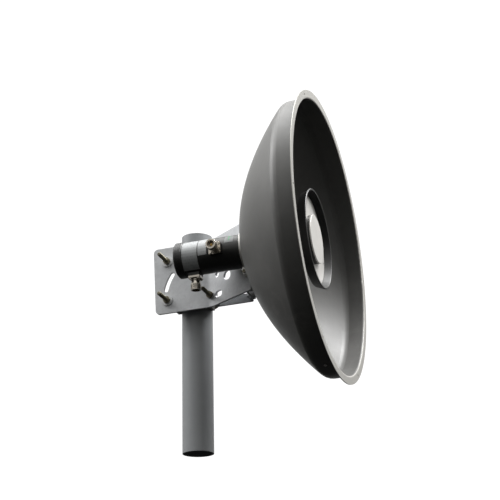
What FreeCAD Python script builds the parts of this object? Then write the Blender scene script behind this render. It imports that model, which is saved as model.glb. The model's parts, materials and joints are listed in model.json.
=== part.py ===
import FreeCAD, Part
import os
import math

os.makedirs("parts", exist_ok=True)
V = FreeCAD.Vector

# ----------------------------------------------------------------------------
# Dual-polar parabolic antenna on a pole mount.  All sizes in millimetres.
# World frame: origin at the centre of the mast foot, +Z up the mast, +X the
# way the dish looks, -Y the side on which the dish hangs beside the mast.
# The dish, bracket and feed are drawn level (dish axis along +X, height 0)
# and then swung nose-up about the pivot leg by REST_TILT.
# ----------------------------------------------------------------------------

# mast
MAST_R = 25.0
MAST_WALL = 3.0
MAST_TOP = 359.5
CAP_T = 2.5

# where the dish axis lies
AXIS_Z = 285.0        # height of the level dish axis above the mast foot
AXIS_H = 105.0        # sideways distance from mast axis to dish axis
REST_TILT = 2.1       # degrees nose-up at rest

# pole clamp
BOLT_X = 36.5         # half of the leg spacing across the mast
PIVOT_DZ = -41.0      # pivot leg below the dish axis
BOLT_DZ = 66.0        # U-bolt spacing up the mast
BOLT_R = 3.0          # M6
NUT_AF = 10.0
SADDLE_HALF_Z = 13.0
SADDLE_FACE = 38.0    # distance of the saddle's outer face from the mast axis
SEAT_CLEAR = 0.05
BOLT_TIP = 81.5       # how far the leg tips stand from the mast axis
BEND_H = 8.4          # centre of the U-bolt bend, off the mast axis
SLOT_DOWN, SLOT_UP = 0.95, 3.35  # degrees from level that the short slots allow
SEAT_H = 42.6         # flat seat milled in the bend for the right-hand washers

# bent side bracket
SHEET = 4.0
PLATE_FACE = SADDLE_FACE + SHEET
PLATE_X0 = -57.0
PLATE_Z0 = -60.0
PLATE_Z1 = 51.5
WEB_Z1 = 56.0         # top of the web where it meets the dish
WEB_X1 = 118.5        # far end of the web
BEND_X = 31.0
BEND_R = 22.0
WEB_ANGLE = 32.5
MOUNT_X = 108.0       # back face of the dish mounting plate, welded inside the web
MOUNT_T = 4.0

# reflector
RIM_X = 254.4
VERTEX_X = 117.7      # outside of the bowl at its vertex
SKIRT_L = 31.5
SKIRT_RO = 213.6
BOWL_T = 1.5
RIM_R = 226.0
RIM_HOLE_R = 2.0
RIM_HOLE_PITCH_R = 220.0
CENTRE_HOLE_R = 28.0

# feed
TUBE_R = 26.7
TUBE_RI = 23.5
TUBE_X0 = 10.3
TUBE_X1 = 186.0
CAP_X0 = 7.0
CAP_X1 = 20.5
CAP_R = 28.3
V_PORT_X = 34.0
H_PORT_X = 77.0
PORT_REACH = 52.0
N_THREAD_R = 7.94
SUB_RING_R = 78.0
SUB_FRONT = 234.8
SUB_BACK = 220.0
HUB_R = 37.8
HUB_FRONT = 231.6

TILT = math.radians(REST_TILT)
PIV = V(BOLT_X, 0, PIVOT_DZ)
AX = V(0, -AXIS_H, 0)


def swing(shape):
    """Level frame to world: swing nose-up about the pivot, then lift."""
    s = shape.copy()
    s.rotate(PIV, V(0, -1, 0), REST_TILT)
    s.translate(V(0, 0, AXIS_Z))
    return s


def lift(shape):
    s = shape.copy()
    s.translate(V(0, 0, AXIS_Z))
    return s


def save(name, shape):
    if shape.ShapeType == "Compound" and len(shape.Solids) == 1:
        shape = shape.Solids[0]
    assert shape.isValid(), name
    assert len(shape.Solids) >= 1, name
    shape.exportStep("parts/%s.step" % name)
    print("%-24s solids %2d  vol %10.1f" % (name, len(shape.Solids), sum(q.Volume for q in shape.Solids)))


def group(shapes):
    return Part.makeCompound(shapes)


def box(x0, x1, y0, y1, z0, z1):
    return Part.makeBox(x1 - x0, y1 - y0, z1 - z0, V(x0, y0, z0))


def xcyl(r, x0, x1, h=AXIS_H, z=0.0):
    """Cylinder along X at sideways distance h and height z."""
    return Part.makeCylinder(r, x1 - x0, V(x0, -h, z), V(1, 0, 0))


def ycyl(r, h0, h1, x, z):
    """Cylinder along -Y from distance h0 to h1."""
    return Part.makeCylinder(r, h1 - h0, V(x, -h0, z), V(0, -1, 0))


def prism(points, direction):
    w = Part.makePolygon(points + [points[0]])
    return Part.Face(w).extrude(direction)


def hex_y(af, h0, h1, x, z, bore=0.0, turn=0.0):
    rc = af / 2.0 / math.cos(math.pi / 6)
    pts = [V(x + rc * math.cos(math.radians(60 * k + turn)), -h0,
             z + rc * math.sin(math.radians(60 * k + turn))) for k in range(6)]
    s = prism(pts, V(0, -(h1 - h0), 0))
    if bore:
        s = s.cut(ycyl(bore, h0 - 1, h1 + 1, x, z))
    return s


def hex_x(af, x0, x1, h, z, bore=0.0, turn=0.0):
    rc = af / 2.0 / math.cos(math.pi / 6)
    pts = [V(x0, -h + rc * math.cos(math.radians(60 * k + turn)),
             z + rc * math.sin(math.radians(60 * k + turn))) for k in range(6)]
    s = prism(pts, V(x1 - x0, 0, 0))
    if bore:
        s = s.cut(xcyl(bore, x0 - 1, x1 + 1, h, z))
    return s


def revolve(points, closed=True):
    """Revolve a closed profile of (x, r) points about the dish axis."""
    pts = [V(x, -AXIS_H, r) for x, r in points]
    w = Part.makePolygon(pts + [pts[0]])
    return Part.Face(w).revolve(AX, V(1, 0, 0), 360)


# ----------------------------------------------------------------------------
# mast
# ----------------------------------------------------------------------------
mast = Part.makeCylinder(MAST_R, MAST_TOP).cut(
    Part.makeCylinder(MAST_R - MAST_WALL, MAST_TOP + 2, V(0, 0, -1)))
CAP_BORE = 23.0
mast = mast.cut(Part.makeCylinder(CAP_BORE, 20, V(0, 0, MAST_TOP - 15)))
save("mast_tube", mast)

cap = Part.makeCylinder(MAST_R, CAP_T, V(0, 0, MAST_TOP))
cap = cap.makeFillet(1.6, [e for e in cap.Edges
                           if e.Curve.TypeId == "Part::GeomCircle" and e.BoundBox.ZMin > MAST_TOP + 1])
plug = Part.makeCylinder(CAP_BORE - 0.1, 14, V(0, 0, MAST_TOP - 14)).cut(
    Part.makeCylinder(CAP_BORE - 2.6, 12, V(0, 0, MAST_TOP - 14)))
save("mast_cap", cap.fuse(plug).removeSplitter())

# ----------------------------------------------------------------------------
# pole clamp: two grooved saddles and two U-bolts round the mast
# ----------------------------------------------------------------------------


def saddle(zc):
    """Grooved block between mast and bracket."""
    z0, z1 = zc - SADDLE_HALF_Z, zc + SADDLE_HALF_Z
    f = SADDLE_FACE
    wing = box(-45.0, 45.0, -f, -(f - 7.0), z0, z1)
    wing = wing.makeFillet(4.0, [e for e in wing.Edges
                                 if abs(e.BoundBox.YLength - 7.0) < 1e-6 and e.BoundBox.XLength < 1e-6
                                 and e.BoundBox.ZLength < 1e-6])
    yoke = box(-31.0, 31.0, -f, -3.0, z0, z1)
    s = wing.fuse(yoke).removeSplitter()
    inner = [e for e in s.Edges if e.BoundBox.ZLength > 25 and abs(abs(e.BoundBox.XMin) - 31.0) < 1e-6
             and abs(e.BoundBox.YMin + (f - 7.0)) < 1e-6]
    if inner:
        s = s.makeFillet(1.0, inner)
    s = s.cut(Part.makeCylinder(MAST_R + SEAT_CLEAR, 60, V(0, 0, zc - 30)))
    for bx in (-BOLT_X, BOLT_X):
        s = s.cut(ycyl(BOLT_R + 0.3, f - 12, f + 2, bx, zc))
    return s


z_low, z_up = PIVOT_DZ, PIVOT_DZ + BOLT_DZ
save("saddle_lower", lift(saddle(z_low)))
save("saddle_upper", lift(saddle(z_up)))

bolt_sites = [(-BOLT_X, z_low), (-BOLT_X, z_up), (BOLT_X, z_up)]
pivot_site = (BOLT_X, z_low)
WASHER_T = 1.6
NUT_T = 5.0


def u_bolt(z):
    """Rod bent round the back of the mast, both legs pointing to -Y."""
    legs = []
    for x in (-BOLT_X, BOLT_X):
        leg = ycyl(BOLT_R, BEND_H, BOLT_TIP, x, z)
        end = [e for e in leg.Edges if e.Curve.TypeId == "Part::GeomCircle" and e.BoundBox.YMax < -BOLT_TIP + 1]
        legs.append(leg.makeChamfer(0.8, end))
    ring = Part.makeTorus(BOLT_X, BOLT_R, V(0, -BEND_H, z), V(0, 0, 1))
    half = ring.common(box(-60, 60, -BEND_H, 60, z - 10, z + 10))
    return half.fuse(legs).removeSplitter()


save("u_bolt_lower", lift(u_bolt(z_low)))
save("u_bolt_upper", lift(u_bolt(z_up)))


def washer_y(r, h0, t, x, z, bore):
    return ycyl(r, h0, h0 + t, x, z).cut(ycyl(bore, h0 - 1, h0 + t + 1, x, z))


sites = bolt_sites + [pivot_site]
washers, clamp_nuts = [], []
for k, (x, z) in enumerate(sites):
    wr, w0 = (5.9, SEAT_H) if x > 0 else (9.0, PLATE_FACE)
    washers.append(lift(washer_y(wr, w0, WASHER_T, x, z, BOLT_R + 0.2)))
    clamp_nuts.append(lift(hex_y(NUT_AF, w0 + WASHER_T, w0 + WASHER_T + NUT_T, x, z, BOLT_R + 0.02, 11.0 * k)))
save("clamp_washers", group(washers))
save("clamp_nuts", group(clamp_nuts))

# ----------------------------------------------------------------------------
# side bracket: one bent sheet, flat against the clamp, then slanting out to
# the back of the dish.  Level frame.
# ----------------------------------------------------------------------------
wa = math.radians(WEB_ANGLE)
cx, ch = BEND_X, PLATE_FACE + BEND_R


def on_arc(r, a):
    return V(cx + r * math.sin(a), -(ch - r * math.cos(a)), 0)


def web_face_h(x, back=False):
    r = BEND_R + (SHEET if back else 0.0)
    p = on_arc(r, wa)
    return -p.y + (x - p.x) * math.tan(wa)


f0 = V(PLATE_X0, -PLATE_FACE, 0)
f1 = V(BEND_X, -PLATE_FACE, 0)
f2 = on_arc(BEND_R, wa)
f3 = V(WEB_X1, -web_face_h(WEB_X1), 0)
b3 = V(WEB_X1, -web_face_h(WEB_X1, True), 0)
b2 = on_arc(BEND_R + SHEET, wa)
b1 = V(BEND_X, -SADDLE_FACE, 0)
b0 = V(PLATE_X0, -SADDLE_FACE, 0)
wire = Part.Wire([
    Part.LineSegment(f0, f1).toShape(),
    Part.Arc(f1, on_arc(BEND_R, wa / 2), f2).toShape(),
    Part.LineSegment(f2, f3).toShape(),
    Part.LineSegment(f3, b3).toShape(),
    Part.LineSegment(b3, b2).toShape(),
    Part.Arc(b2, on_arc(BEND_R + SHEET, wa / 2), b1).toShape(),
    Part.LineSegment(b1, b0).toShape(),
    Part.LineSegment(b0, f0).toShape()])
bracket = Part.Face(wire).extrude(V(0, 0, WEB_Z1 + 1 - PLATE_Z0))
bracket.translate(V(0, 0, PLATE_Z0))
# top edge: level along the flat part, rising gently along the web
bracket = bracket.cut(prism([V(PLATE_X0 - 5, 0, PLATE_Z1), V(BEND_X + 14, 0, PLATE_Z1), V(WEB_X1 + 5, 0, WEB_Z1),
                             V(WEB_X1 + 5, 0, 80), V(PLATE_X0 - 5, 0, 80)], V(0, -160, 0)))
bracket = bracket.makeFillet(7.0, [e for e in bracket.Edges
                                   if abs(e.BoundBox.XMax - PLATE_X0) < 1e-6 and e.BoundBox.ZLength < 1e-6])


def arc_slot(radius, a0, a1, half_w, front=PLATE_FACE + 3, depth=SHEET + 8):
    """Slot about the pivot, angles in degrees up from the -X direction."""
    def at(r, a):
        return V(BOLT_X - r * math.cos(math.radians(a)), -front, PIVOT_DZ + r * math.sin(math.radians(a)))
    am = (a0 + a1) / 2.0
    ro, ri = radius + half_w, radius - half_w
    da = math.degrees(half_w / radius)

    def tip(a, s):
        c = at(radius, a)
        t = V(math.sin(math.radians(a)), 0, math.cos(math.radians(a)))
        return c + t * (half_w * s)
    w = Part.Wire([
        Part.Arc(at(ri, a0), at(ri, am), at(ri, a1)).toShape(),
        Part.Arc(at(ri, a1), tip(a1, 1), at(ro, a1)).toShape(),
        Part.Arc(at(ro, a1), at(ro, am), at(ro, a0)).toShape(),
        Part.Arc(at(ro, a0), tip(a0, -1), at(ri, a0)).toShape()])
    return Part.Face(w).extrude(V(0, depth, 0))


# short slots at three legs for the fine tilt; milled seats where a washer meets the bend
for x, z in bolt_sites:
    dx, dz = BOLT_X - x, z - PIVOT_DZ
    rr = math.hypot(dx, dz)
    aa = math.degrees(math.atan2(dz, dx))
    bracket = bracket.cut(arc_slot(rr, aa - SLOT_DOWN, aa + SLOT_UP, BOLT_R + 0.3))
    if x > 0:
        bracket = bracket.cut(arc_slot(rr, aa - SLOT_DOWN, aa + SLOT_UP, 6.1, 64.0, 64.0 - SEAT_H + 0.02))
bracket = bracket.cut(ycyl(6.1, SEAT_H - 0.02, 64.0, BOLT_X, PIVOT_DZ))
# pivot hole, running fit on the pivot leg
bracket = bracket.cut(ycyl(BOLT_R + 0.05, 30, 50, BOLT_X, PIVOT_DZ))
# long arc slot for steep up-tilt
bracket = bracket.cut(arc_slot(77.0, 15.5, 35.5, 3.8))


def web_hole(x, z, length, height):
    """Rounded slot through the slanting web, normal to the sheet."""
    u = V(math.cos(wa), -math.sin(wa), 0)
    n = V(math.sin(wa), math.cos(wa), 0)      # away from the dish side
    c = V(x, -web_face_h(x), z) - n * 4
    half = max(length - height, 0.0) / 2.0
    r = height / 2.0
    s = Part.makeCylinder(r, 14, c - u * half, n)
    if half > 0.01:
        s = s.fuse(Part.makeCylinder(r, 14, c + u * half, n))
        a, b = c - u * half, c + u * half
        up = V(0, 0, r)
        s = s.fuse(prism([a - up, b - up, b + up, a + up], n * 14))
    return s


bracket = bracket.cut(web_hole(53.5, -43.7, 17.0, 10.0))
bracket = bracket.cut(web_hole(72.5, -19.5, 17.0, 15.0))
bracket = bracket.cut(web_hole(52.0, -11.0, 9.0, 9.0))
bracket = bracket.cut(web_hole(57.0, 36.0, 17.0, 10.0))
# room for the feed tube
bracket = bracket.cut(xcyl(31.0, 70.0, WEB_X1 + 1))
bracket = bracket.cut(xcyl(34.0, MOUNT_X + 2, WEB_X1 + 1))
save("side_bracket", swing(bracket))

# two straight brace bars behind the web
BR0, BR1 = 45.6, MOUNT_X


def brace(z0, z1):
    bar = box(BR0, MOUNT_X, -PLATE_FACE, -SADDLE_FACE, z0, z1)
    foot = box(MOUNT_X - SHEET, MOUNT_X, -56.0, -SADDLE_FACE, z0, z1)
    s = bar.fuse(foot).removeSplitter()
    outer = [e for e in s.Edges if e.BoundBox.ZLength > 10 and abs(e.BoundBox.XMin - MOUNT_X) < 1e-6
             and abs(e.BoundBox.YMin + SADDLE_FACE) < 1e-6]
    inner = [e for e in s.Edges if e.BoundBox.ZLength > 10 and abs(e.BoundBox.XMin - (MOUNT_X - SHEET)) < 1e-6
             and abs(e.BoundBox.YMin + PLATE_FACE) < 1e-6]
    s = s.makeFillet(6.0, outer)
    inner = [e for e in s.Edges if e.BoundBox.ZLength > 10 and abs(e.BoundBox.XMin - (MOUNT_X - SHEET)) < 1e-6
             and abs(e.BoundBox.YMin + PLATE_FACE) < 1e-6]
    s = s.makeFillet(2.0, inner)
    s = s.cut(xcyl(2.75, MOUNT_X - 8, MOUNT_X + 1, 49.5, (z0 + z1) / 2))
    return s


braces = [brace(-61.0, -47.0), brace(37.0, 51.0)]
save("brace_bars", group([swing(b) for b in braces]))

# ----------------------------------------------------------------------------
# dish mounting plate, bolts and spacers
# ----------------------------------------------------------------------------
DISH_BOLTS = [(66.0, -46.0), (48.0, -18.0), (48.0, 18.0), (66.0, 44.0)]
BRACE_BOLTS = [(49.5, -54.0), (49.5, 44.0)]
PLATE_H1 = web_face_h(MOUNT_X, True) - 0.2

plate = box(MOUNT_X, MOUNT_X + MOUNT_T, -PLATE_H1, -43.0, -60.0, 50.5)
plate = plate.makeFillet(4.0, [e for e in plate.Edges if abs(e.BoundBox.XLength - MOUNT_T) < 1e-6
                               and e.BoundBox.YMax > -44])
plate = plate.cut(xcyl(TUBE_R + 4.3, MOUNT_X - 1, MOUNT_X + MOUNT_T + 1))
for h, z in DISH_BOLTS + BRACE_BOLTS:
    plate = plate.cut(xcyl(2.75, MOUNT_X - 1, MOUNT_X + MOUNT_T + 1, h, z))
COLLAR_SCREWS = [(AXIS_H + 30.1 * math.cos(math.radians(a)), 30.1 * math.sin(math.radians(a)))
                 for a in (60.0, 180.0, 300.0)]
save("mount_plate", swing(plate))

# weld fillets: plate to the web's back face, braces to the web
beads = []
for z0, z1 in ((-58.0, -34.0), (34.0, 48.5)):
    xa = MOUNT_X - 3.6
    beads.append(prism([V(MOUNT_X - 0.03, -(PLATE_H1 + 0.1), z0), V(MOUNT_X - 0.03, -(PLATE_H1 - 3.6), z0),
                        V(xa, -(web_face_h(xa, True) - 0.08), z0)], V(0, 0, z1 - z0)))
bx = BR0 + 0.4
for z0, z1 in ((-60.0, -48.0), (38.0, 50.0)):
    y = -PLATE_FACE
    # bead sits in the wedge between the brace bar's front face and the web's back face
    x1 = bx + 5.0
    beads.append(prism([V(bx + 0.1, y - 0.02, z0), V(x1, y - 0.02, z0),
                        V(x1, -web_face_h(x1, True) + 0.05, z0),
                        V(bx + 0.1, -web_face_h(bx + 0.1, True) + 0.05, z0)], V(0, 0, z1 - z0)))
save("weld_beads", group([swing(b) for b in beads]))

# ----------------------------------------------------------------------------
# reflector bowl: spun sheet, paraboloid + short cylindrical skirt + flat rim
# ----------------------------------------------------------------------------
PAR_D = RIM_X - SKIRT_L - VERTEX_X
PK = PAR_D / SKIRT_RO ** 2


def par_out(r):
    return VERTEX_X + PK * r * r


def par_in_pt(r):
    s = 2 * PK * r
    n = math.hypot(1.0, s)
    return par_out(r) + BOWL_T / n, r - BOWL_T * s / n


def P2(x, r):
    return V(x, -AXIS_H, r)


def spline(pts):
    c = Part.BSplineCurve()
    c.interpolate(pts)
    return c.toShape()


# tangent arc between paraboloid and skirt
RK_OUT, RK_IN = 15.0, 13.5
slope_e = 2 * PK * SKIRT_RO
phi = math.atan(slope_e)                   # angle of the curve from the radial direction
turn = math.pi / 2 - phi                   # how far it turns to run along the axis
tl = RK_OUT * math.tan(turn / 2)
r_t = SKIRT_RO - tl * math.cos(phi)
x_corner = par_out(SKIRT_RO)
arc_c = P2(x_corner + tl, SKIRT_RO - RK_OUT)
start_out = P2(par_out(r_t), r_t)


def arc_pt(radius, ang):
    # ang 0 points outward (radial), growing back towards the paraboloid
    return V(arc_c.x - radius * math.sin(ang), -AXIS_H, arc_c.z + radius * math.cos(ang))


out_pts = [P2(par_out(r), r) for r in
           [CENTRE_HOLE_R + (r_t - CENTRE_HOLE_R) * k / 26.0 for k in range(26)]]
a_out = arc_pt(RK_OUT, turn)
out_pts.append(a_out)
in_pts = [P2(*par_in_pt(r)) for r in
          [CENTRE_HOLE_R + 0.4 + (r_t - CENTRE_HOLE_R - 0.4) * k / 26.0 for k in range(26)]]
a_in = arc_pt(RK_IN, turn)
in_pts.append(a_in)
SK_RI = SKIRT_RO - BOWL_T
o_sk0 = arc_pt(RK_OUT, 0)
i_sk0 = arc_pt(RK_IN, 0)
BRo, BRi = 1.6, 3.1                        # rim bend radii, hidden side and open side
o_sk1 = P2(RIM_X - BOWL_T - BRo, SKIRT_RO)
o_fl0 = P2(RIM_X - BOWL_T, SKIRT_RO + BRo)
bc = P2(RIM_X - BOWL_T - BRo, SKIRT_RO + BRo)


def bend_pt(r, a):
    return V(bc.x + r * math.sin(a), -AXIS_H, bc.z - r * math.cos(a))


edges = [
    spline(out_pts),
    Part.Arc(a_out, arc_pt(RK_OUT, turn / 2), o_sk0).toShape(),
    Part.LineSegment(o_sk0, o_sk1).toShape(),
    Part.Arc(o_sk1, bend_pt(BRo, math.pi / 4), o_fl0).toShape(),
    Part.LineSegment(o_fl0, P2(RIM_X - BOWL_T, RIM_R)).toShape(),
    Part.LineSegment(P2(RIM_X - BOWL_T, RIM_R), P2(RIM_X, RIM_R)).toShape(),
    Part.LineSegment(P2(RIM_X, RIM_R), bend_pt(BRi, math.pi / 2)).toShape(),
    Part.Arc(bend_pt(BRi, math.pi / 2), bend_pt(BRi, math.pi / 4), bend_pt(BRi, 0)).toShape(),
    Part.LineSegment(bend_pt(BRi, 0), i_sk0).toShape(),
    Part.Arc(i_sk0, arc_pt(RK_IN, turn / 2), a_in).toShape(),
    spline(list(reversed(in_pts))),
    Part.LineSegment(in_pts[0], out_pts[0]).toShape()]
profile = Part.Wire(Part.__sortEdges__(edges))
bowl = Part.Face(profile).revolve(AX, V(1, 0, 0), 360)
if bowl.Volume < 0:
    bowl.reverse()
for a in (30, 90, 150, 210, 270, 330):
    h = AXIS_H + RIM_HOLE_PITCH_R * math.sin(math.radians(a))
    z = RIM_HOLE_PITCH_R * math.cos(math.radians(a))
    bowl = bowl.cut(xcyl(RIM_HOLE_R, RIM_X - 6, RIM_X + 3, h, z))
for h, z in DISH_BOLTS:
    bowl = bowl.cut(xcyl(2.75, VERTEX_X - 4, VERTEX_X + 24, h, z))
for h, z in COLLAR_SCREWS:
    bowl = bowl.cut(xcyl(1.3, VERTEX_X - 4, VERTEX_X + 24, h, z))
# drain hole low on the near side of the skirt
DR_A = math.radians(-170.0)                # from straight up, towards -Y negative
DR_X = 238.0
dd = V(0, -math.sin(-DR_A), math.cos(DR_A))
dr0 = V(DR_X, -AXIS_H, 0) + dd * (SK_RI - 4)
bowl = bowl.cut(Part.makeCylinder(1.6, 12, dr0, dd))
save("reflector", swing(bowl))

drain = Part.makeCylinder(1.55, BOWL_T + 2.2, V(DR_X, -AXIS_H, 0) + dd * (SK_RI - 1.0), dd)
drain = drain.fuse(Part.makeCylinder(2.6, 0.9, V(DR_X, -AXIS_H, 0) + dd * (SKIRT_RO + 0.06), dd))
save("drain_plug", swing(drain.removeSplitter()))

# everything to the front of the bowl's outside, and everything behind its inside
GAP = 0.06


def par_poly(offset, f):
    pts = []
    for k in range(0, 31):
        r = 20.0 + 60.0 * k / 30.0
        pts.append(f(r, offset))
    return pts


def solid_front_of_outside():
    pts = [P2(par_out(r) - GAP, r) for r in [20.0 + 62.0 * k / 20.0 for k in range(21)]]
    e = [spline(pts),
         Part.LineSegment(pts[-1], P2(200, 82.0)).toShape(),
         Part.LineSegment(P2(200, 82.0), P2(200, 20.0)).toShape(),
         Part.LineSegment(P2(200, 20.0), pts[0]).toShape()]
    return Part.Face(Part.Wire(Part.__sortEdges__(e))).revolve(AX, V(1, 0, 0), 360)


def solid_behind_inside():
    pts = []
    for k in range(21):
        r = 20.0 + 62.0 * k / 20.0
        x, q = par_in_pt(r)
        pts.append(P2(x + GAP, q))
    r0, r1 = pts[0].z, pts[-1].z
    e = [spline(pts),
         Part.LineSegment(pts[-1], P2(60, r1)).toShape(),
         Part.LineSegment(P2(60, r1), P2(60, r0)).toShape(),
         Part.LineSegment(P2(60, r0), pts[0]).toShape()]
    return Part.Face(Part.Wire(Part.__sortEdges__(e))).revolve(AX, V(1, 0, 0), 360)


front_fill = solid_front_of_outside()
back_fill = solid_behind_inside()
PF = MOUNT_X + MOUNT_T
sleeves, wedges, bolts, nuts = [], [], [], []
for h, z in DISH_BOLTS:
    r = math.hypot(h - AXIS_H, z)
    s = xcyl(7.0, PF, PF + 24, h, z).cut(front_fill).cut(xcyl(2.75, PF - 1, PF + 30, h, z))
    sleeves.append(swing(s))
    xt = par_in_pt(r + 8.0)[0] + 1.4
    w = xcyl(7.0, PF - 2, xt, h, z).cut(back_fill).cut(xcyl(2.75, PF - 5, PF + 30, h, z))
    wedges.append(swing(w))
    b = xcyl(2.5, MOUNT_X - 7.6, xt, h, z)
    hd = xcyl(4.75, xt, xt + 3.0, h, z)
    hd = hd.makeFillet(1.6, [e for e in hd.Edges if e.Curve.TypeId == "Part::GeomCircle"
                             and e.BoundBox.XMin > xt + 2.5])
    hd = hd.cut(hex_x(3.0, xt + 1.2, xt + 4, h, z))
    bolts.append(swing(b.fuse(hd).removeSplitter()))
    nuts.append(swing(hex_x(8.0, MOUNT_X - 4.7, MOUNT_X, h, z, 2.52, 15)))
save("spacer_sleeves", group(sleeves))
save("wedge_washers", group(wedges))
save("dish_bolts", group(bolts))
save("dish_nuts", group(nuts))

bb, bn = [], []
for h, z in BRACE_BOLTS:
    b = xcyl(2.5, MOUNT_X - SHEET, PF + 7.0, h, z).fuse(
        hex_x(8.0, MOUNT_X - SHEET - 3.5, MOUNT_X - SHEET, h, z, 0, 10)).removeSplitter()
    bb.append(swing(b))
    bn.append(swing(hex_x(8.0, PF, PF + 4.7, h, z, 2.52, 20)))
save("brace_bolts", group(bb))
save("brace_nuts", group(bn))

# ----------------------------------------------------------------------------
# feed collar: split ring behind the bowl's vertex, closed by a pinch bolt
# ----------------------------------------------------------------------------
COL_R = 32.5
COL_X0 = 115.5
collar = revolve([(COL_X0, TUBE_R + 0.05), (par_out(TUBE_R) - 0.08, TUBE_R + 0.05),
                  (par_out(COL_R) - 0.12, COL_R), (COL_X0, COL_R)])
ears = box(PF + 1.0, PF + 6.6, -(AXIS_H + 8.5), -(AXIS_H - 8.5), -41.0, -29.5)
collar = collar.fuse(ears.cut(xcyl(TUBE_R + 0.05, PF - 1, PF + 12))).removeSplitter()
collar = collar.cut(box(PF - 1, PF + 12, -(AXIS_H + 1.4), -(AXIS_H - 1.4), -50, -20))
PB_X, PB_Z = PF + 3.8, -36.5
collar = collar.cut(ycyl(1.6, AXIS_H - 12, AXIS_H + 12, PB_X, PB_Z))
for h, z in COLLAR_SCREWS:
    collar = collar.cut(xcyl(1.2, COL_X0 - 1, PF + 12.0, h, z))
save("feed_collar", swing(collar))
pinch = ycyl(1.5, AXIS_H - 11.2, AXIS_H + 8.5, PB_X, PB_Z)
ph = ycyl(2.75, AXIS_H + 8.5, AXIS_H + 11.5, PB_X, PB_Z).cut(
    hex_y(2.5, AXIS_H + 10.0, AXIS_H + 12.5, PB_X, PB_Z))
save("pinch_bolt", swing(pinch.fuse(ph).removeSplitter()))
save("pinch_nut", swing(hex_y(5.5, AXIS_H - 10.7, AXIS_H - 8.5, PB_X, PB_Z, 1.52)))
cs = []
SCREW_SEAT = par_in_pt(32.5)[0] + 0.1
for h, z in COLLAR_SCREWS:
    s = xcyl(1.15, COL_X0 + 0.4, SCREW_SEAT, h, z).fuse(xcyl(2.2, SCREW_SEAT, SCREW_SEAT + 1.6, h, z)).removeSplitter()
    cs.append(swing(s))
save("collar_screws", group(cs))

# ----------------------------------------------------------------------------
# feed: round waveguide with two ports, splash plate in front
# ----------------------------------------------------------------------------
tube = xcyl(TUBE_R, TUBE_X0, TUBE_X1).cut(xcyl(TUBE_RI, TUBE_X0 - 1, TUBE_X1 + 1))
SEAL_X = 15.0
groove = xcyl(TUBE_R + 2, SEAL_X - 1.0, SEAL_X + 1.0).cut(xcyl(TUBE_R - 1.5, SEAL_X - 2, SEAL_X + 2))
tube = tube.cut(groove)


def radial(port):
    """Outward direction of a port and its point on the axis."""
    return (V(0, -1, 0), V(H_PORT_X, -AXIS_H, 0)) if port == "h" else (V(0, 0, -1), V(V_PORT_X, -AXIS_H, 0))


def rcyl(port, r, r0, r1):
    d, c = radial(port)
    return Part.makeCylinder(r, r1 - r0, c + d * r0, d)


def rcone(port, ra, rb, r0, r1):
    d, c = radial(port)
    return Part.makeCone(ra, rb, r1 - r0, c + d * r0, d)


def rbox(port, half_x, half_t, r0, r1):
    d, c = radial(port)
    if port == "h":
        return box(c.x - half_x, c.x + half_x, c.y - r1, c.y - r0, -half_t, half_t)
    return box(c.x - half_x, c.x + half_x, c.y - half_t, c.y + half_t, -r1, -r0)


PAD_TOP = 30.2
FL_TOP = 33.4
FL_HALF = 9.5
SCREW_HALF = 6.6
pads, ins, con, scr = [], [], [], []
for port in ("h", "v"):
    tube = tube.cut(rcyl(port, 4.1, 15, 40))
    pad = rbox(port, FL_HALF, FL_HALF, 18.0, PAD_TOP)
    d, c = radial(port)
    pad = pad.makeFillet(1.2, [e for e in pad.Edges
                               if abs(e.BoundBox.XLength) < 1e-6 and
                               abs((e.BoundBox.YLength if port == "h" else e.BoundBox.ZLength) - (PAD_TOP - 18)) < 1e-6])
    pad = pad.cut(xcyl(TUBE_R + 0.03, 0, 120)).cut(rcyl(port, 4.1, 10, 40))
    fl = rbox(port, FL_HALF, FL_HALF, PAD_TOP, FL_TOP)
    fl = fl.makeFillet(1.2, [e for e in fl.Edges
                             if abs(e.BoundBox.XLength) < 1e-6 and
                             abs((e.BoundBox.YLength if port == "h" else e.BoundBox.ZLength) - (FL_TOP - PAD_TOP)) < 1e-6])
    body = fl.fuse(rcyl(port, 6.0, PAD_TOP + 1, 37.0))
    body = body.fuse(rcone(port, 6.0, N_THREAD_R, 36.0, 42.0))
    body = body.fuse(rcyl(port, N_THREAD_R, 42.0, PORT_REACH))
    body = body.removeSplitter()
    body = body.cut(rcyl(port, 4.05, PAD_TOP - 1, 43.0))
    body = body.cut(rcyl(port, 5.5, 42.5, PORT_REACH + 1))
    for sx in (-SCREW_HALF, SCREW_HALF):
        for st in (-SCREW_HALF, SCREW_HALF):
            off = V(sx, st, 0) if port == "v" else V(sx, 0, st)
            base = c + off
            body = body.cut(Part.makeCylinder(1.6, 20, base + d * 20, d))
            pad = pad.cut(Part.makeCylinder(1.55, 30, base + d * 20, d))
            sc = Part.makeCylinder(1.5, FL_TOP - 27.6, base + d * 27.6, d).fuse(
                Part.makeCylinder(2.3, 1.6, base + d * FL_TOP, d)).removeSplitter()
            scr.append(swing(sc))
    save(port + "_connector", swing(body))
    pads.append(swing(pad))
    pin = rcyl(port, 1.5, 9.0, PORT_REACH - 4.5)
    pin = pin.cut(rcyl(port, 0.8, PORT_REACH - 10, PORT_REACH))
    con.append(swing(pin))
    di = rcyl(port, 4.0, 22.5, 43.5).cut(rcyl(port, 1.52, 10, 60))
    ins.append(swing(di))
save("feed_tube", swing(tube))
save("connector_pads", group(pads))
save("connector_insulators", group(ins))
save("connector_contacts", group(con))
save("connector_screws", group(scr))

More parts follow.
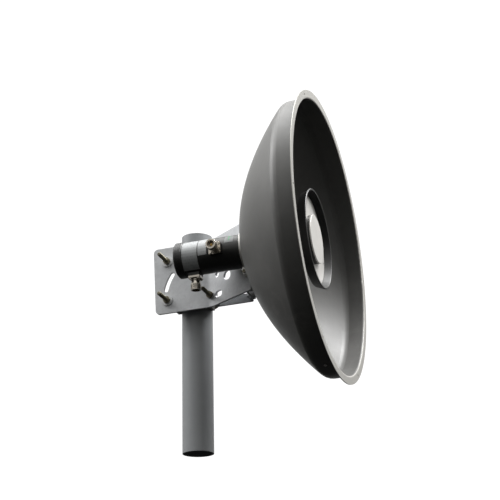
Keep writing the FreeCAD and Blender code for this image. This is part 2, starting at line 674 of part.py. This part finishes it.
# rear cap: cup over the tube end with fine grip grooves
capw = revolve([(CAP_X0, 0.0), (CAP_X0, CAP_R - 1.5), (CAP_X0 + 1.5, CAP_R), (CAP_X1 - 0.8, CAP_R),
                (CAP_X1, CAP_R - 0.8), (CAP_X1, TUBE_R + 0.06), (CAP_X0 + 3.2, TUBE_R + 0.06),
                (CAP_X0 + 3.2, 0.0)])
for k in range(3):
    gx = CAP_X0 + 4.4 + 3.0 * k
    ring = xcyl(CAP_R + 2, gx, gx + 0.8).cut(xcyl(CAP_R - 0.5, gx - 1, gx + 2))
    capw = capw.cut(ring)
VENT_H, VENT_Z = AXIS_H - 9.0, 6.0
capw = capw.cut(xcyl(2.05, CAP_X0 - 1, CAP_X0 + 5, VENT_H, VENT_Z))
save("rear_cap", swing(capw))
seal = Part.makeTorus(TUBE_R - 0.72, 0.74, V(SEAL_X, -AXIS_H, 0), V(1, 0, 0))
save("cap_seal", swing(seal))
vent = xcyl(2.0, CAP_X0 - 0.5, CAP_X0 + 4.6, VENT_H, VENT_Z).fuse(
    xcyl(4.6, CAP_X0 - 4.0, CAP_X0, VENT_H, VENT_Z))
vent = vent.removeSplitter().cut(box(CAP_X0 - 5, CAP_X0 - 2.6, -(VENT_H + 6), -(VENT_H - 6), VENT_Z - 0.6, VENT_Z + 0.6))
save("vent_plug", swing(vent))

# inside the waveguide: end plate behind the rear port, three cross rods
save("backshort", swing(xcyl(TUBE_RI - 0.04, 11.6, 14.0)))
rods = []
for k in range(3):
    rods.append(swing(Part.makeCylinder(1.0, 2 * TUBE_RI - 0.5, V(54.0 + 3.5 * k, -(AXIS_H - TUBE_RI + 0.25), 0), V(0, -1, 0))))
save("cross_rods", group(rods))

# splash plate and its moulded support
HS = 2.6
support = revolve([(164.0, TUBE_R + 0.05), (164.0, 30.0), (168.0, 31.0), (182.0, HUB_R), (HUB_FRONT - 2.0, HUB_R),
                   (HUB_FRONT - 2.0, HUB_R - HS), (186.5, HUB_R - HS), (186.5, TUBE_R + 0.05)])
flange = xcyl(46.0, SUB_BACK - 3.0, SUB_BACK).cut(xcyl(HUB_R - 0.5, SUB_BACK - 5, SUB_BACK + 1))
support = support.fuse(flange).removeSplitter()
ring = revolve([(SUB_BACK, 62.0), (SUB_BACK, 72.0), (SUB_BACK + 0.6, 72.7),
                (SUB_FRONT - 0.8, SUB_RING_R), (SUB_FRONT, SUB_RING_R - 0.8), (SUB_FRONT, SUB_RING_R - 2.4),
                (SUB_FRONT - 0.6, SUB_RING_R - 3.0), (SUB_BACK + 2.0, 70.2), (SUB_BACK + 2.0, 62.0)])
sub = xcyl(70.1, SUB_BACK + 2.0, SUB_BACK + 4.0).cut(xcyl(HUB_R + 0.05, SUB_BACK - 1, SUB_BACK + 9))
sub = sub.fuse(xcyl(61.0, SUB_BACK, SUB_BACK + 2.0).cut(xcyl(HUB_R + 0.05, SUB_BACK - 1, SUB_BACK + 9))).removeSplitter()
rv = []
for k in range(6):
    a = math.radians(60 * k + 15)
    h, z = AXIS_H + 65.8 * math.cos(a), 65.8 * math.sin(a)
    sub = sub.cut(xcyl(1.6, SUB_BACK - 1, SUB_BACK + 9, h, z))
    ring = ring.cut(xcyl(1.6, SUB_BACK - 1, SUB_BACK + 2.5, h, z))
    rv.append(swing(xcyl(1.55, SUB_BACK, SUB_BACK + 4.0, h, z).fuse(
        xcyl(2.8, SUB_BACK - 1.0, SUB_BACK, h, z)).removeSplitter()))
hs = []
for k in range(4):
    a = math.radians(90 * k + 45)
    h, z = AXIS_H + 42.0 * math.cos(a), 42.0 * math.sin(a)
    sub = sub.cut(xcyl(1.3, SUB_BACK - 1, SUB_BACK + 9, h, z))
    support = support.cut(xcyl(1.3, SUB_BACK - 4, SUB_BACK + 1, h, z))
    hs.append(swing(xcyl(1.25, SUB_BACK - 3.0, SUB_BACK + 4.0, h, z).fuse(
        xcyl(2.3, SUB_BACK - 4.8, SUB_BACK - 3.0, h, z)).removeSplitter()))
save("splash_support", swing(support))
save("subreflector_ring", swing(ring))
save("subreflector_plate", swing(sub))
save("plate_rivets", group(rv))
save("support_screws", group(hs))
disc = xcyl(HUB_R, HUB_FRONT - 2.0, HUB_FRONT)
disc = disc.makeFillet(0.5, [e for e in disc.Edges if e.Curve.TypeId == "Part::GeomCircle"
                             and e.BoundBox.XMin > HUB_FRONT - 0.5])
spigot = xcyl(HUB_R - HS - 0.05, HUB_FRONT - 5.0, HUB_FRONT - 2.0)
save("hub_cap", swing(disc.fuse(spigot).removeSplitter()))


# thin labels on the tube, angle 0 towards -Y, 90 up
def label(x0, x1, a0, a1, t=0.18):
    n = 24
    def pt(r, a):
        a = math.radians(a)
        return V(x0, -(AXIS_H + r * math.cos(a)), r * math.sin(a))
    r0, r1 = TUBE_R + 0.02, TUBE_R + 0.02 + t
    am = (a0 + a1) / 2.0
    w = Part.Wire([
        Part.Arc(pt(r0, a0), pt(r0, am), pt(r0, a1)).toShape(),
        Part.LineSegment(pt(r0, a1), pt(r1, a1)).toShape(),
        Part.Arc(pt(r1, a1), pt(r1, am), pt(r1, a0)).toShape(),
        Part.LineSegment(pt(r1, a0), pt(r0, a0)).toShape()])
    return Part.Face(w).extrude(V(x1 - x0, 0, 0))


save("rating_label", swing(label(20.8, 46.0, -60.0, 118.0)))
save("code_label", swing(label(47.5, 61.5, -13.0, 70.0)))
save("arrow_label", swing(label(90.5, 104.5, 18.0, 62.0)))
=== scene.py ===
import bpy, bmesh, math, json
from mathutils import Vector, Matrix

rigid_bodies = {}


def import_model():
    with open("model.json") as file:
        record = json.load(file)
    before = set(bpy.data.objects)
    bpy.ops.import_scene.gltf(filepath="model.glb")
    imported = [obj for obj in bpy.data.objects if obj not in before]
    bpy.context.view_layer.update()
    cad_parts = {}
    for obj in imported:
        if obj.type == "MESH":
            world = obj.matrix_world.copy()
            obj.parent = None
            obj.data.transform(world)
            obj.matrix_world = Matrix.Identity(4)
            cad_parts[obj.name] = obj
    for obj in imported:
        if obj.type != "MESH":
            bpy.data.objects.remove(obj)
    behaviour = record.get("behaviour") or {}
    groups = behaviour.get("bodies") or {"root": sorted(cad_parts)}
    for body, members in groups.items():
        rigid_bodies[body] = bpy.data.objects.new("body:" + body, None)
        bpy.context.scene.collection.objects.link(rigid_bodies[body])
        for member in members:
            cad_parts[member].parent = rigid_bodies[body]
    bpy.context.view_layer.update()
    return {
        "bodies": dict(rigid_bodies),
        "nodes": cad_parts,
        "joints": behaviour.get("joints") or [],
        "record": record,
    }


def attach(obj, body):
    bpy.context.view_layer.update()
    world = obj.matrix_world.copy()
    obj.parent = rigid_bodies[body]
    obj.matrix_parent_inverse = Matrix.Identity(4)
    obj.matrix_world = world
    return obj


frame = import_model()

# ---------------------------------------------------------------- frame numbers
MM = 0.001
AXIS_Z, AXIS_H, TILT = 285.0, 105.0, math.radians(2.1)
BOLT_X, PIVOT_DZ, BOLT_DZ = 36.5, -41.0, 66.0
RIM_X, VERTEX_X, SKIRT_L, SKIRT_RO, BOWL_T, RIM_R = 254.4, 117.7, 31.5, 213.6, 1.5, 226.0
PAR_D = RIM_X - SKIRT_L - VERTEX_X
PK = PAR_D / SKIRT_RO ** 2

# level dish frame (mm) to the CAD frame (m)
M_DISH = (Matrix.Diagonal((MM, MM, MM, 1.0)) @ Matrix.Translation((BOLT_X, 0, PIVOT_DZ + AXIS_Z))
          @ Matrix.Rotation(-TILT, 4, "Y") @ Matrix.Translation((-BOLT_X, 0, -PIVOT_DZ)))
# clamp frame: same axes, lifted
M_CLAMP = Matrix.Diagonal((MM, MM, MM, 1.0)) @ Matrix.Translation((0, 0, AXIS_Z))


# ---------------------------------------------------------------- camera
def make_camera():
    cam = bpy.data.cameras.new("camera")
    ob = bpy.data.objects.new("camera", cam)
    bpy.context.scene.collection.objects.link(ob)
    phi, pitch, roll = math.radians(16.685), math.radians(20.361), math.radians(-1.1836)
    fw = Vector((0, math.cos(pitch), math.sin(pitch)))
    rt = Vector((1, 0, 0))
    up = rt.cross(fw)
    r2 = rt * math.cos(roll) + up * math.sin(roll)
    u2 = -rt * math.sin(roll) + up * math.cos(roll)
    rz = Matrix.Rotation(phi, 3, "Z")
    c = rz @ Vector((88.831, -2122.852, 0.0)) + Vector((-1.48, 0, -449.2))
    r2, u2, fw = rz @ r2, rz @ u2, rz @ fw
    m = Matrix((r2, u2, -fw)).transposed().to_4x4()
    m.translation = c * MM
    ob.matrix_world = m
    cam.sensor_width = 36.0
    cam.lens = 1371.179 / 500.0 * 36.0
    cam.clip_start, cam.clip_end = 0.05, 200.0
    bpy.context.scene.camera = ob
    return ob


make_camera()


# ---------------------------------------------------------------- node helpers
class NT:
    def __init__(self, name):
        self.mat = bpy.data.materials.new(name)
        self.mat.use_nodes = True
        self.t = self.mat.node_tree
        self.t.nodes.clear()
        self.out = self.n("ShaderNodeOutputMaterial")
        self.b = self.n("ShaderNodeBsdfPrincipled")
        self.l(self.b.outputs[0], self.out.inputs[0])
        self.co = self.n("ShaderNodeTexCoord").outputs["Object"]

    def n(self, kind, **kw):
        x = self.t.nodes.new(kind)
        for k, v in kw.items():
            setattr(x, k, v)
        return x

    def l(self, a, b):
        self.t.links.new(a, b)

    def val(self, sock, v):
        if hasattr(v, "is_linked") or hasattr(v, "links"):
            self.l(v, sock)
        else:
            sock.default_value = v

    def math(self, op, a, b=0.0, c=None, clamp=False):
        x = self.n("ShaderNodeMath", operation=op)
        x.use_clamp = clamp
        self.val(x.inputs[0], a)
        self.val(x.inputs[1], b)
        if c is not None:
            self.val(x.inputs[2], c)
        return x.outputs[0]

    def noise(self, scale, detail=4.0, rough=0.55, vec=None, dist=0.0):
        x = self.n("ShaderNodeTexNoise")
        x.inputs["Scale"].default_value = scale
        x.inputs["Detail"].default_value = detail
        x.inputs["Roughness"].default_value = rough
        x.inputs["Distortion"].default_value = dist
        self.l(vec if vec is not None else self.co, x.inputs["Vector"])
        return x.outputs["Fac"]

    def ramp(self, fac, stops):
        x = self.n("ShaderNodeValToRGB")
        els = x.color_ramp.elements
        while len(els) < len(stops):
            els.new(0.5)
        for e, (p, c) in zip(els, stops):
            e.position = p
            e.color = (*c, 1.0) if len(c) == 3 else c
        self.l(fac, x.inputs[0])
        return x.outputs[0]

    def mix(self, fac, a, b):
        x = self.n("ShaderNodeMix", data_type="RGBA")
        self.val(x.inputs[0], fac)
        for s, v in ((x.inputs[6], a), (x.inputs[7], b)):
            if isinstance(v, tuple):
                s.default_value = (*v, 1.0) if len(v) == 3 else v
            else:
                self.l(v, s)
        return x.outputs[2]

    def mapping(self, scale=(1, 1, 1), loc=(0, 0, 0), rot=(0, 0, 0), vec=None):
        x = self.n("ShaderNodeMapping")
        x.inputs["Scale"].default_value = scale
        x.inputs["Location"].default_value = loc
        x.inputs["Rotation"].default_value = rot
        self.l(vec if vec is not None else self.co, x.inputs["Vector"])
        return x.outputs[0]

    def dish(self):
        """Coordinates in the level dish frame, in mm, about the dish axis."""
        m = M_DISH.inverted()
        x = self.n("ShaderNodeMapping")
        # inverse of M_DISH: p = R(+tilt)(world*1000 - lift) + offset
        x.vector_type = "POINT"
        x.inputs["Scale"].default_value = (1000, 1000, 1000)
        x.inputs["Rotation"].default_value = (0, TILT, 0)
        loc = m @ Vector((0, 0, 0))
        x.inputs["Location"].default_value = (loc.x, loc.y + AXIS_H, loc.z)
        self.l(self.co, x.inputs["Vector"])
        s = self.n("ShaderNodeSeparateXYZ")
        self.l(x.outputs[0], s.inputs[0])
        r = self.math("SQRT", self.math("ADD", self.math("MULTIPLY", s.outputs[1], s.outputs[1]),
                                        self.math("MULTIPLY", s.outputs[2], s.outputs[2])))
        return x.outputs[0], s.outputs[0], s.outputs[1], s.outputs[2], r

    def bump(self, height, strength, dist, radius=0.0):
        x = self.n("ShaderNodeBump")
        x.inputs["Strength"].default_value = strength
        x.inputs["Distance"].default_value = dist
        self.l(height, x.inputs["Height"])
        if radius > 0:
            bv = self.n("ShaderNodeBevel", samples=4)
            bv.inputs["Radius"].default_value = radius
            self.l(bv.outputs[0], x.inputs["Normal"])
        self.l(x.outputs[0], self.b.inputs["Normal"])
        return x

    def set(self, **kw):
        names = {"color": "Base Color", "rough": "Roughness", "metal": "Metallic", "spec": "Specular IOR Level",
                 "coat": "Coat Weight", "coat_rough": "Coat Roughness", "aniso": "Anisotropic", "alpha": "Alpha",
                 "sheen": "Sheen Weight", "trans": "Transmission Weight"}
        for k, v in kw.items():
            s = self.b.inputs[names[k]]
            if isinstance(v, tuple):
                s.default_value = (*v, 1.0) if len(v) == 3 else v
            else:
                self.val(s, v)
        return self


def tone(c, k):
    return tuple(min(1.0, x * k) for x in c)


MATS = {}


def generic(name, color, rough=0.5, metal=0.0, vary=0.12, scale=60.0, bump=0.15, bump_scale=900.0, bevel=0.0, spec=0.5,
            tint=None, streak=None):
    m = NT(name)
    big = m.noise(scale * 0.25, 3.0)
    fine = m.noise(scale * 3.0, 5.0)
    f = m.math("ADD", m.math("MULTIPLY", big, 0.6), m.math("MULTIPLY", fine, 0.4))
    a, b = tone(color, 1.0 - vary), tone(color, 1.0 + vary)
    if tint is not None:
        b = tone(tint, 1.0)
    col = m.ramp(f, [(0.35, a), (0.65, b)])
    rg = m.math("MULTIPLY_ADD", f, 0.22, rough - 0.11)
    m.set(color=col, rough=rg, metal=metal, spec=spec)
    v = None
    if streak:
        v = m.mapping(scale=streak)
    h = m.noise(bump_scale, 3.0, 0.6, vec=v)
    m.bump(h, bump, 0.0003, bevel)
    MATS[name] = m.mat
    return m.mat


# dark powder-coated bowl with a bare front rim
def dish_paint():
    m = NT("dish_paint")
    vec, x, y, z, r = m.dish()
    rings = m.n("ShaderNodeCombineXYZ")
    m.l(m.math("MULTIPLY", r, 0.22), rings.inputs[0])
    ring = m.noise(1.0, 4.0, 0.6, vec=rings.outputs[0])
    cloud = m.noise(0.012, 4.0, 0.55, vec=vec, dist=0.4)
    grime = m.noise(0.05, 6.0, 0.65, vec=vec)
    fine = m.noise(1.3, 3.0, 0.6, vec=vec)
    f = m.math("ADD", m.math("MULTIPLY", cloud, 0.55), m.math("ADD", m.math("MULTIPLY", grime, 0.3),
               m.math("MULTIPLY", ring, 0.15)))
    paint = m.ramp(f, [(0.30, (0.088, 0.087, 0.084)), (0.52, (0.108, 0.107, 0.103)), (0.72, (0.135, 0.133, 0.127))])
    # faint lighter patches, stronger towards the bottom of the dish
    pale_patch_noise = m.noise(0.035, 5.0, 0.7, vec=vec, dist=0.8)
    lower_pale_patches = m.math("MULTIPLY", m.ramp(pale_patch_noise, [(0.54, (0, 0, 0)), (0.66, (1, 1, 1))]),
                    m.ramp(m.math("MULTIPLY_ADD", z, -0.004, 0.2), [(0.35, (0, 0, 0)), (0.8, (1, 1, 1))]))
    paint = m.mix(m.math("MULTIPLY", lower_pale_patches, 0.24), paint, (0.21, 0.20, 0.19))
    # bare metal on the rim's front face and edge
    bare = m.math("MULTIPLY", m.math("GREATER_THAN", x, RIM_X - 1.1), m.math("GREATER_THAN", r, SKIRT_RO - 0.6))
    circ = m.n("ShaderNodeCombineXYZ")
    m.l(m.math("MULTIPLY", r, 1.2), circ.inputs[0])
    m.l(m.math("MULTIPLY", y, 0.02), circ.inputs[1])
    m.l(m.math("MULTIPLY", z, 0.02), circ.inputs[2])
    br = m.noise(1.6, 4.0, 0.7, vec=circ.outputs[0])
    metal = m.ramp(br, [(0.3, (0.40, 0.39, 0.365)), (0.7, (0.50, 0.49, 0.46))])
    col = m.mix(bare, paint, metal)
    pr = m.math("MULTIPLY_ADD", grime, 0.20, 0.36)
    mr = m.math("MULTIPLY_ADD", br, 0.2, 0.34)
    rough = m.math("ADD", m.math("MULTIPLY", bare, mr), m.math("MULTIPLY", m.math("SUBTRACT", 1.0, bare), pr))
    m.set(color=col, rough=rough, metal=m.math("MULTIPLY", bare, 0.45), spec=0.5)
    h = m.math("ADD", m.math("MULTIPLY", fine, 0.35), m.math("MULTIPLY", ring, 0.65))
    m.bump(h, 0.22, 0.0004)
    MATS["dish_paint"] = m.mat


def galvanised(name="galvanised", base=(0.56, 0.57, 0.585), k=1.0):
    m = NT(name)
    vo = m.n("ShaderNodeTexVoronoi")
    vo.inputs["Scale"].default_value = 260.0
    m.l(m.co, vo.inputs["Vector"])
    sp = m.n("ShaderNodeSeparateColor")
    m.l(vo.outputs["Color"], sp.inputs[0])
    cloud = m.noise(22.0, 4.0, 0.6)
    fine = m.noise(700.0, 3.0, 0.6)
    f = m.math("ADD", m.math("MULTIPLY", sp.outputs[0], 0.25), m.math("MULTIPLY", cloud, 0.75))
    col = m.ramp(f, [(0.25, tone(base, 0.90 * k)), (0.75, tone(base, 1.08 * k))])
    m.set(color=col, rough=m.math("MULTIPLY_ADD", sp.outputs[1], 0.12, 0.42), metal=0.35, spec=0.5)
    m.bump(m.math("ADD", m.math("MULTIPLY", fine, 0.5), m.math("MULTIPLY", cloud, 0.5)), 0.12, 0.0003, 0.0005)
    MATS[name] = m.mat


def bare_aluminium():
    m = NT("bare_aluminium")
    vec, x, y, z, r = m.dish()
    c = m.n("ShaderNodeCombineXYZ")
    m.l(m.math("MULTIPLY", r, 1.0), c.inputs[0])
    m.l(m.math("MULTIPLY", x, 0.1), c.inputs[1])
    ring = m.noise(2.2, 5.0, 0.7, vec=c.outputs[0])
    cloud = m.noise(30.0, 4.0, 0.6)
    f = m.math("ADD", m.math("MULTIPLY", ring, 0.5), m.math("MULTIPLY", cloud, 0.5))
    col = m.ramp(f, [(0.3, (0.60, 0.585, 0.56)), (0.7, (0.72, 0.705, 0.68))])
    m.set(color=col, rough=m.math("MULTIPLY_ADD", ring, 0.2, 0.36), metal=0.5, spec=0.5)
    m.bump(ring, 0.10, 0.0002, 0.0003)
    MATS["bare_aluminium"] = m.mat


def label(name, base, bars):
    """Film label with plain printed bars only: no letters."""
    m = NT(name)
    vec, x, y, z, r = m.dish()
    cloud = m.noise(60.0, 4.0, 0.6)
    col = m.ramp(cloud, [(0.3, tone(base, 0.93)), (0.7, tone(base, 1.05))])
    if bars:
        ang = m.math("MULTIPLY", m.math("ARCTAN2", z, m.math("MULTIPLY", y, -1.0)), 26.9)
        row = m.math("FRACT", m.math("MULTIPLY", ang, 0.21))
        line = m.math("GREATER_THAN", row, 0.66)
        c = m.n("ShaderNodeCombineXYZ")
        m.l(m.math("MULTIPLY", x, 0.75), c.inputs[0])
        m.l(m.math("FLOOR", m.math("MULTIPLY", ang, 0.21)), c.inputs[1])
        wn = m.n("ShaderNodeTexNoise", noise_dimensions="2D")
        wn.inputs["Scale"].default_value = 0.9
        wn.inputs["Detail"].default_value = 0.0
        m.l(c.outputs[0], wn.inputs["Vector"])
        seg = m.math("GREATER_THAN", wn.outputs["Fac"], 0.5)
        m2 = m.math("MULTIPLY", line, seg)
        col = m.mix(m.math("MULTIPLY", m2, 0.38), col, tone(base, 0.42))
    m.set(color=col, rough=m.math("MULTIPLY_ADD", cloud, 0.15, 0.34), metal=0.15, spec=0.5)
    m.bump(m.noise(500.0, 2.0), 0.05, 0.0002)
    MATS[name] = m.mat


dish_paint()
galvanised()
galvanised("bright_zinc", (0.60, 0.605, 0.61))
bare_aluminium()
label("label_silver", (0.30, 0.31, 0.315), True)
label("label_clear", (0.10, 0.105, 0.105), False)
generic("mast_paint", (0.29, 0.30, 0.31), 0.42, 0.0, 0.07, 14.0, 0.16, 500.0, streak=(1, 1, 0.25))
generic("cap_plastic", (0.30, 0.305, 0.31), 0.5, 0.0, 0.06, 20.0, 0.2, 700.0, bevel=0.0005)
generic("saddle_metal", (0.20, 0.195, 0.185), 0.5, 0.55, 0.16, 30.0, 0.5, 260.0, bevel=0.0008)
generic("olive_zinc", (0.150, 0.138, 0.100), 0.36, 0.65, 0.25, 90.0, 0.25, 900.0, bevel=0.0003, tint=(0.22, 0.20, 0.14))
generic("weld_metal", (0.30, 0.30, 0.30), 0.5, 0.6, 0.2, 60.0, 0.6, 300.0)
generic("black_anodised", (0.018, 0.018, 0.017), 0.36, 0.15, 0.15, 50.0, 0.12, 900.0, bevel=0.0004)
generic("black_plastic", (0.014, 0.014, 0.014), 0.42, 0.0, 0.15, 50.0, 0.2, 700.0, bevel=0.0005)
generic("rubber", (0.02, 0.02, 0.02), 0.7, 0.0, 0.1, 80.0, 0.2, 600.0)
generic("nickel", (0.60, 0.565, 0.51), 0.22, 1.0, 0.12, 120.0, 0.10, 900.0, bevel=0.0002, tint=(0.66, 0.60, 0.52))
generic("ptfe", (0.80, 0.79, 0.76), 0.45, 0.0, 0.04, 60.0, 0.1, 600.0)
generic("gold", (0.75, 0.48, 0.16), 0.25, 1.0, 0.1, 120.0, 0.1, 900.0)

NODES = {o.name: o for o in bpy.data.objects if o.name in frame["nodes"]} if "nodes" in frame else {}
SLOT = {s["node"]: s["material_slot"] for s in frame["record"]["subparts"]}
for node, s in SLOT.items():
    o = bpy.data.objects.get(node)
    if o is None:
        continue
    o.data.materials.clear()
    o.data.materials.append(MATS[s])

# ---------------------------------------------------------------- added detail
def mesh_piece(name, verts, faces, mat, body, smooth=False):
    me = bpy.data.meshes.new(name)
    me.from_pydata([tuple(v) for v in verts], [], faces)
    me.validate()
    if smooth:
        for q in me.polygons:
            q.use_smooth = True
    ob = bpy.data.objects.new(name, me)
    sc0 = bpy.context.scene.collection
    sc0.objects.link(ob)
    me.materials.append(MATS[mat])
    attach(ob, body)
    return ob


def thread(name, m, origin, axis, r, length, pitch, depth, mat, body):
    """Helical ridge of triangular section along a rod, in mm in frame m."""
    ax = Vector(axis).normalized()
    u = ax.orthogonal().normalized()
    v = ax.cross(u)
    steps = int(round(length / pitch * 20))
    verts, faces = [], []
    for k in range(steps + 1):
        a = 2 * math.pi * k / 20.0
        d = u * math.cos(a) + v * math.sin(a)
        s = pitch * k / 20.0
        fade = min(1.0, k / 12.0, (steps - k) / 12.0)
        for rr, ds in ((r - 0.05, -0.42 * pitch), (r - 0.05 + depth * fade, 0.0), (r - 0.05, 0.42 * pitch)):
            verts.append(m @ (Vector(origin) + ax * (s + ds) + d * rr))
    for k in range(steps):
        b = 3 * k
        faces += [(b, b + 1, b + 4, b + 3), (b + 1, b + 2, b + 5, b + 4)]
    return mesh_piece(name, verts, faces, mat, body)


for zi, zz in enumerate((PIVOT_DZ, PIVOT_DZ + BOLT_DZ)):
    for xi, xx in enumerate((-BOLT_X, BOLT_X)):
        thread("leg_thread_%d%d" % (zi, xi), M_CLAMP, (xx, -50.2, zz), (0, -1, 0), 3.0, 30.0, 1.0, 0.32,
               "olive_zinc", "clamp")
thread("h_port_thread", M_DISH, (77.0, -(AXIS_H + 43.0), 0), (0, -1, 0), 7.94, 8.2, 1.06, 0.40, "nickel", "feed")
thread("v_port_thread", M_DISH, (34.0, -AXIS_H, -43.0), (0, 0, -1), 7.94, 8.2, 1.06, 0.40, "nickel", "feed")

# printed green direction arrow on the clear label
ar = NT("green_print")
gcol = ar.ramp(ar.noise(300.0, 3.0), [(0.3, (0.03, 0.17, 0.07)), (0.7, (0.05, 0.24, 0.10))])
ar.set(color=gcol, rough=ar.math("MULTIPLY_ADD", ar.noise(90.0), 0.2, 0.4), spec=0.4)
ar.bump(ar.noise(600.0, 2.0), 0.05, 0.0002)
MATS["green_print"] = ar.mat


def on_tube(x, s):
    """Point just above the label, s mm round the tube from its near side, upwards positive."""
    rr = 27.0
    a = s / rr
    return M_DISH @ Vector((x, -(AXIS_H + rr * math.cos(a)), rr * math.sin(a)))


S0 = math.radians(40.0) * 27.0
av, af = [], []
N = 8
for k in range(N + 1):
    s1 = S0 - 6.5 + 8.5 * k / N
    av += [on_tube(96.6, s1), on_tube(98.4, s1)]
for k in range(N):
    af.append((2 * k, 2 * k + 1, 2 * k + 3, 2 * k + 2))
b0 = len(av)
for k in range(5):
    s1 = S0 + 2.0 + 4.5 * k / 4.0
    hw = 2.9 * (1 - k / 4.0) + 0.02
    av += [on_tube(97.5 - hw, s1), on_tube(97.5 + hw, s1)]
for k in range(4):
    af.append((b0 + 2 * k, b0 + 2 * k + 1, b0 + 2 * k + 3, b0 + 2 * k + 2))
mesh_piece("arrow_print", av, af, "green_print", "feed")

# ---------------------------------------------------------------- world, light, floor
sc = bpy.context.scene
sc.view_settings.view_transform = "Standard"
w = bpy.data.worlds.new("studio")
sc.world = w
w.use_nodes = True
t = w.node_tree
t.nodes.clear()
wo = t.nodes.new("ShaderNodeOutputWorld")
bg = t.nodes.new("ShaderNodeBackground")
t.links.new(bg.outputs[0], wo.inputs[0])
tc = t.nodes.new("ShaderNodeTexCoord")
sx = t.nodes.new("ShaderNodeSeparateXYZ")
t.links.new(tc.outputs["Generated"], sx.inputs[0])
cr = t.nodes.new("ShaderNodeValToRGB")
t.links.new(sx.outputs[2], cr.inputs[0])
# direction z: dark ground below the horizon, bright even sky above
mp = t.nodes.new("ShaderNodeMath")
mp.operation = "MULTIPLY_ADD"
mp.inputs[1].default_value = 0.5
mp.inputs[2].default_value = 0.5
t.links.new(sx.outputs[2], mp.inputs[0])
t.links.new(mp.outputs[0], cr.inputs[0])
el = cr.color_ramp.elements
while len(el) < 5:
    el.new(0.5)
for e, (pos, c) in zip(el, [(0.0, 0.02), (0.47, 0.035), (0.53, 0.26), (0.78, 0.75), (1.0, 1.6)]):
    e.position, e.color = pos, (c, c, c * 0.98, 1)
# white backdrop behind the part
BACK = Vector((-math.sin(math.radians(16.685)) * math.cos(math.radians(20.4)),
               math.cos(math.radians(16.685)) * math.cos(math.radians(20.4)), math.sin(math.radians(20.4))))
dp = t.nodes.new("ShaderNodeVectorMath")
dp.operation = "DOT_PRODUCT"
dp.inputs[1].default_value = BACK
t.links.new(tc.outputs["Generated"], dp.inputs[0])
br = t.nodes.new("ShaderNodeValToRGB")
br.color_ramp.elements[0].position, br.color_ramp.elements[0].color = 0.90, (0, 0, 0, 1)
br.color_ramp.elements[1].position, br.color_ramp.elements[1].color = 0.965, (1, 1, 1, 1)
t.links.new(dp.outputs["Value"], br.inputs[0])
bm = t.nodes.new("ShaderNodeMix")
bm.data_type = "RGBA"
t.links.new(br.outputs[0], bm.inputs[0])
t.links.new(cr.outputs[0], bm.inputs[6])
bm.inputs[7].default_value = (1.1, 1.1, 1.1, 1)
t.links.new(bm.outputs[2], bg.inputs[0])
bg.inputs[1].default_value = 1.0


def area(name, loc, target, size, power, color=(1, 1, 1)):
    d = bpy.data.lights.new(name, "AREA")
    d.shape = "RECTANGLE"
    d.size, d.size_y = size
    d.energy = power
    d.color = color
    o = bpy.data.objects.new(name, d)
    sc.collection.objects.link(o)
    o.location = loc
    o.rotation_euler = (Vector(target) - Vector(loc)).to_track_quat("-Z", "Y").to_euler()
    return o


area("key", (-1.9, -0.5, 2.2), (0.1, -0.1, 0.28), (1.8, 1.6), 62.0)
area("top", (-0.1, -0.1, 2.9), (0.1, -0.1, 0.28), (2.2, 2.2), 55.0)
area("front", (1.5, 0.5, 2.5), (0.15, -0.1, 0.1), (1.4, 1.4), 125.0)

fm = bpy.data.meshes.new("floor")
fm.from_pydata([(-30, -30, -0.0006), (30, -30, -0.0006), (30, 30, -0.0006), (-30, 30, -0.0006)], [], [(0, 1, 2, 3)])
floor = bpy.data.objects.new("floor", fm)
sc.collection.objects.link(floor)
f = NT("floor_paper")
geo = f.n("ShaderNodeNewGeometry")
tr = f.n("ShaderNodeBsdfTransparent")
mx = f.n("ShaderNodeMixShader")
fc = f.ramp(f.noise(3.0, 3.0), [(0.3, (0.80, 0.80, 0.79)), (0.7, (0.84, 0.84, 0.83))])
f.set(color=fc, rough=0.7)
f.bump(f.noise(180.0, 4.0), 0.05, 0.001)
f.l(geo.outputs["Backfacing"], mx.inputs[0])
f.l(f.b.outputs[0], mx.inputs[1])
f.l(tr.outputs[0], mx.inputs[2])
f.l(mx.outputs[0], f.out.inputs[0])
fm.materials.append(f.mat)
floor.visible_diffuse = False
floor.visible_glossy = False
